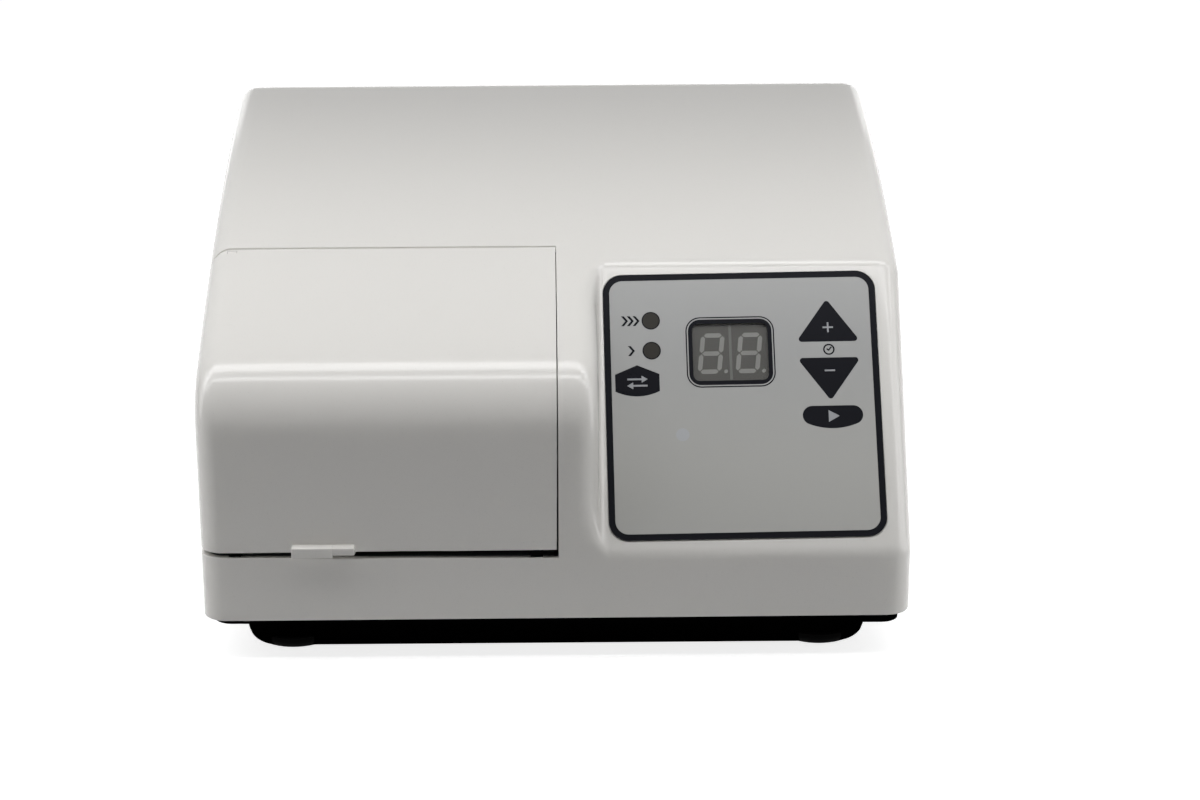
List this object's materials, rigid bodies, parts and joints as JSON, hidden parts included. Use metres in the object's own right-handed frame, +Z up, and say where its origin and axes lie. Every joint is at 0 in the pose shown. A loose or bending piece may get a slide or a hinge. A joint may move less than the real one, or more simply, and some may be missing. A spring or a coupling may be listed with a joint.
{
  "type": "dental amalgamator",
  "caption": "Bench-top capsule mixer: white rounded housing, hinged lid over an oscillating capsule fork, sloping key panel with display, black base on round feet.",
  "frame": {"origin": "on the table, below the middle of the whole in X and Y", "axes": "+X to the machine's right as a user faces it, +Y to its rear, +Z up"},
  "size_m": [0.231, 0.1843, 0.1554],
  "materials": {
    "white_shell": "gloss moulded white",
    "black_base": "fine matte black",
    "black_rocker": "gloss black",
    "black_rubber": "soft black",
    "panel_film": "light grey printed film",
    "key_ink": "black printed film",
    "smoked_window": "smoked clear",
    "digit_face": "grey",
    "red_lens": "unlit red",
    "green_board": "green lacquer",
    "black_component": "matte black",
    "zinc_steel": "zinc plated",
    "magnet_ferrite": "dark ferrite",
    "bell_plastic": "matte black",
    "copper_winding": "lacquered copper",
    "brass_hub": "turned",
    "fork_plastic": "dark grey glass-filled",
    "core_iron": "laminated core and coil",
    "relay_case": "blue case",
    "capacitor_sleeve": "dark sleeve",
    "fuse_body": "pale ceramic"
  },
  "bodies": {
    "base": {"housing": "white_shell", "lid_bumpers": "black_rubber", "lid_hinge_pins": "zinc_steel", "reed_switch": "black_base", "chamber_tray": "black_base", "panel_overlay": "panel_film", "display_window": "smoked_window", "display_digits": "digit_face", "lamp_windows": "smoked_window", "lamps": "red_lens", "control_board": "green_board", "control_chips": "black_component", "key_switches": "black_component", "control_board_screws": "zinc_steel", "buzzer": "black_base", "motor_can": "zinc_steel", "motor_magnets": "magnet_ferrite", "motor_end_bell": "bell_plastic", "motor_bearings": "zinc_steel", "motor_bracket": "zinc_steel", "motor_mounts": "black_rubber", "motor_bracket_screws": "zinc_steel", "motor_face_screws": "zinc_steel", "motor_saddle": "black_base", "arm_spring": "zinc_steel", "power_board": "green_board", "power_board_screws": "zinc_steel", "transformer": "core_iron", "relay": "relay_case", "capacitors": "capacitor_sleeve", "fuse": "fuse_body", "mains_inlet": "black_base", "inlet_screws": "zinc_steel", "power_switch_frame": "black_base", "base_pan": "black_base", "base_pan_screws": "zinc_steel", "feet": "black_rubber", "foot_screws": "zinc_steel"},
    "lid": {"lid": "white_shell", "lid_tab": "white_shell", "lid_magnet": "zinc_steel"},
    "rotor": {"motor_shaft": "zinc_steel", "motor_armature": "copper_winding", "wobble_hub": "brass_hub", "hub_nut": "zinc_steel", "cooling_fan": "black_component"},
    "arm": {"mixing_arm": "zinc_steel", "capsule_fork": "fork_plastic", "fork_screws": "zinc_steel", "fork_rods": "zinc_steel", "jaw_springs": "zinc_steel"},
    "jaw": {"sprung_jaw": "fork_plastic"},
    "up_key": {"key_up": "key_ink"},
    "down_key": {"key_down": "key_ink"},
    "select_key": {"key_select": "key_ink"},
    "start_key": {"key_start": "key_ink"},
    "rocker": {"power_rocker": "black_rocker"}
  },
  "joints": [
    {"name": "lid_hinge", "type": "hinge", "parent": "base", "child": "lid", "pos_m": [0, -0.02673, 0.12115], "axis": [-1, 0, 0], "range_deg": [0, 85]},
    {"name": "rotor_spin", "type": "hinge", "parent": "base", "child": "rotor", "pos_m": [-0.055, 0.00539, 0.072], "axis": [1, 0, 0], "continuous": true},
    {"name": "arm_swing", "type": "hinge", "parent": "base", "child": "arm", "pos_m": [-0.055, 0.00539, 0.072], "axis": [0, 0, 1], "range_deg": [-6.5, 6.5], "stiffness_Nm_per_rad": 0.5},
    {"name": "jaw_slide", "type": "slide", "parent": "arm", "child": "jaw", "axis": [1, 0, 0], "range_m": [0, 0.004], "stiffness_N_per_m": 800, "springref_m": -0.001, "deforming": ["jaw_springs"]},
    {"name": "up_key_press", "type": "slide", "parent": "base", "child": "up_key", "axis": [0, 0.8241, -0.5664], "range_m": [0, 0.0004], "stiffness_N_per_m": 1500},
    {"name": "down_key_press", "type": "slide", "parent": "base", "child": "down_key", "axis": [0, 0.8241, -0.5664], "range_m": [0, 0.0004], "stiffness_N_per_m": 1500},
    {"name": "select_key_press", "type": "slide", "parent": "base", "child": "select_key", "axis": [0, 0.8241, -0.5664], "range_m": [0, 0.0004], "stiffness_N_per_m": 1500},
    {"name": "start_key_press", "type": "slide", "parent": "base", "child": "start_key", "axis": [0, 0.8241, -0.5664], "range_m": [0, 0.0004], "stiffness_N_per_m": 1500},
    {"name": "power_rocker_tilt", "type": "hinge", "parent": "base", "child": "rocker", "pos_m": [0.034, 0.08639, 0.044], "axis": [1, 0, 0], "range_deg": [0, 14]}
  ]
}
